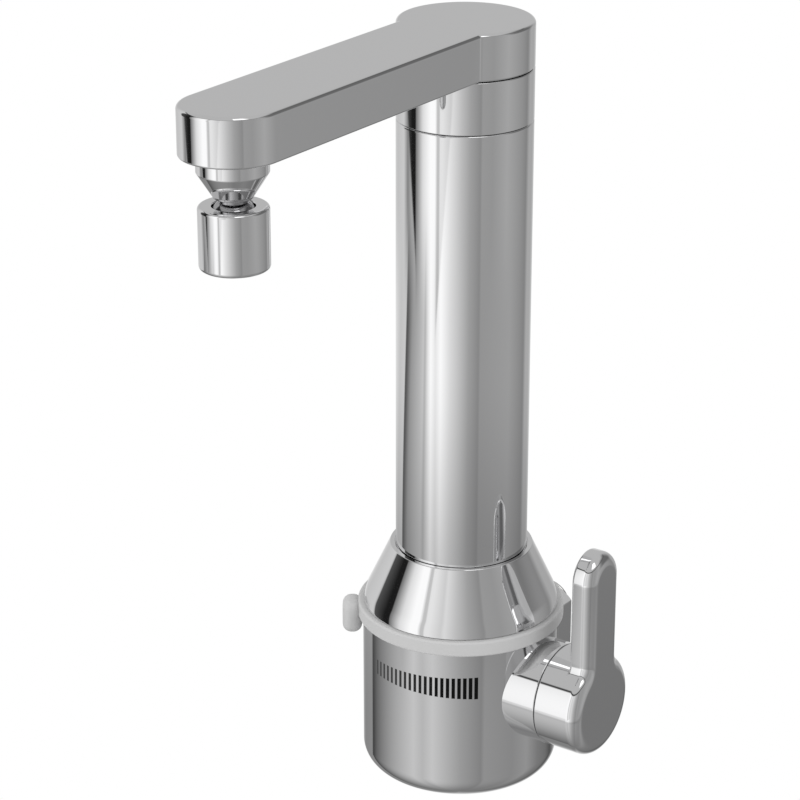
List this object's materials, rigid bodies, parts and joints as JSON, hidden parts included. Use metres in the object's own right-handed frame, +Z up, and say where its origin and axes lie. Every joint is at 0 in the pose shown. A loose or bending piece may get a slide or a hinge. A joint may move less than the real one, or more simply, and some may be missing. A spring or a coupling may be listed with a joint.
{
  "type": "electric instant water heater tap",
  "caption": "Wall-mounted electric water heater tap: round heater body, heat selector ring, side lever, tall column, swivel spout and ball-jointed aerator.",
  "frame": {"origin": "centre of the wall thread's root, where the inlet's hexagon meets the finished wall", "axes": "+Z up along the column, -Y along the spout away from the wall, +X towards the lever"},
  "size_m": [0.1055, 0.22, 0.3],
  "materials": {
    "brass": "turned",
    "ceramic": "polished alumina",
    "chrome": "bright chrome plating",
    "chrome_plastic": "bright chrome plating on plastic",
    "copper": "drawn tube",
    "element_steel": "heat darkened sheath",
    "grey_plastic": "moulded",
    "ring_grey": "satin light grey plastic",
    "rubber": "matt",
    "steel": "plain",
    "white_plastic": "moulded"
  },
  "bodies": {
    "base": {"body_shell": "chrome", "rear_housing": "chrome_plastic", "housing_screws": "steel", "cable_grommet": "rubber", "inlet_stub": "brass", "inlet_seal": "rubber", "inlet_strainer": "steel", "valve_body": "brass", "cartridge_body": "brass", "cartridge_nut": "brass", "fixed_disc": "ceramic", "feed_pipe": "copper", "terminal_block": "white_plastic", "terminal_screws": "brass", "thermal_cutout": "steel", "chassis_plate": "grey_plastic", "contact_plate": "white_plastic", "selector_contacts": "brass", "main_contacts": "brass", "switch_cover": "grey_plastic", "diaphragm": "rubber", "plunger_spring": "steel", "chamber_base": "grey_plastic", "chamber_seal": "rubber", "heating_chamber": "steel", "chamber_screws": "steel", "heating_element": "element_steel", "element_nuts": "brass", "riser_pipe": "copper", "shoulder_cone": "chrome", "column_tube": "chrome", "column_collar": "chrome", "swivel_housing": "grey_plastic"},
    "selector": {"selector_ring": "ring_grey", "contact_carrier": "white_plastic", "contact_wiper": "brass"},
    "switch": {"plunger": "white_plastic", "contact_bridge": "copper"},
    "lever": {"lever_handle": "chrome", "lever_screw": "steel", "spindle": "brass", "spindle_seal": "rubber", "moving_disc": "ceramic"},
    "spout": {"spout_arm": "chrome", "spout_plate": "chrome_plastic", "plate_screws": "steel", "water_channel": "grey_plastic", "swivel_spigot": "brass", "spigot_seals": "rubber", "spigot_clip": "steel", "outlet_collar": "chrome", "outlet_seal": "rubber", "ball_stud": "chrome"},
    "aerator_swivel": {"ball_seat": "white_plastic"},
    "aerator": {"aerator_cup": "chrome", "flow_insert": "white_plastic", "aerator_screen": "steel"}
  },
  "joints": [
    {"name": "selector_turn", "type": "hinge", "parent": "base", "child": "selector", "pos_m": [0, -0.052, 0.025], "axis": [0, 0, 1], "range_deg": [0, 96]},
    {"name": "lever_turn", "type": "hinge", "parent": "base", "child": "lever", "pos_m": [0.05, -0.052, 0], "axis": [1, 0, 0], "range_deg": [0, 90]},
    {"name": "spout_swivel", "type": "hinge", "parent": "base", "child": "spout", "pos_m": [0, -0.052, 0.225], "axis": [0, 0, 1], "range_deg": [-90, 90]},
    {"name": "aerator_turn", "type": "hinge", "parent": "spout", "child": "aerator_swivel", "pos_m": [0, -0.188, 0.2191], "axis": [0, 0, 1], "continuous": true},
    {"name": "aerator_tilt", "type": "hinge", "parent": "aerator_swivel", "child": "aerator", "pos_m": [0, -0.188, 0.2191], "axis": [1, 0, 0], "range_deg": [-18, 18]},
    {"name": "plunger_slide", "type": "slide", "parent": "base", "child": "switch", "axis": [0, 0, -1], "range_m": [0, 0.0025], "stiffness_N_per_m": 900, "springref_m": -0.002, "deforming": ["plunger_spring"]}
  ]
}
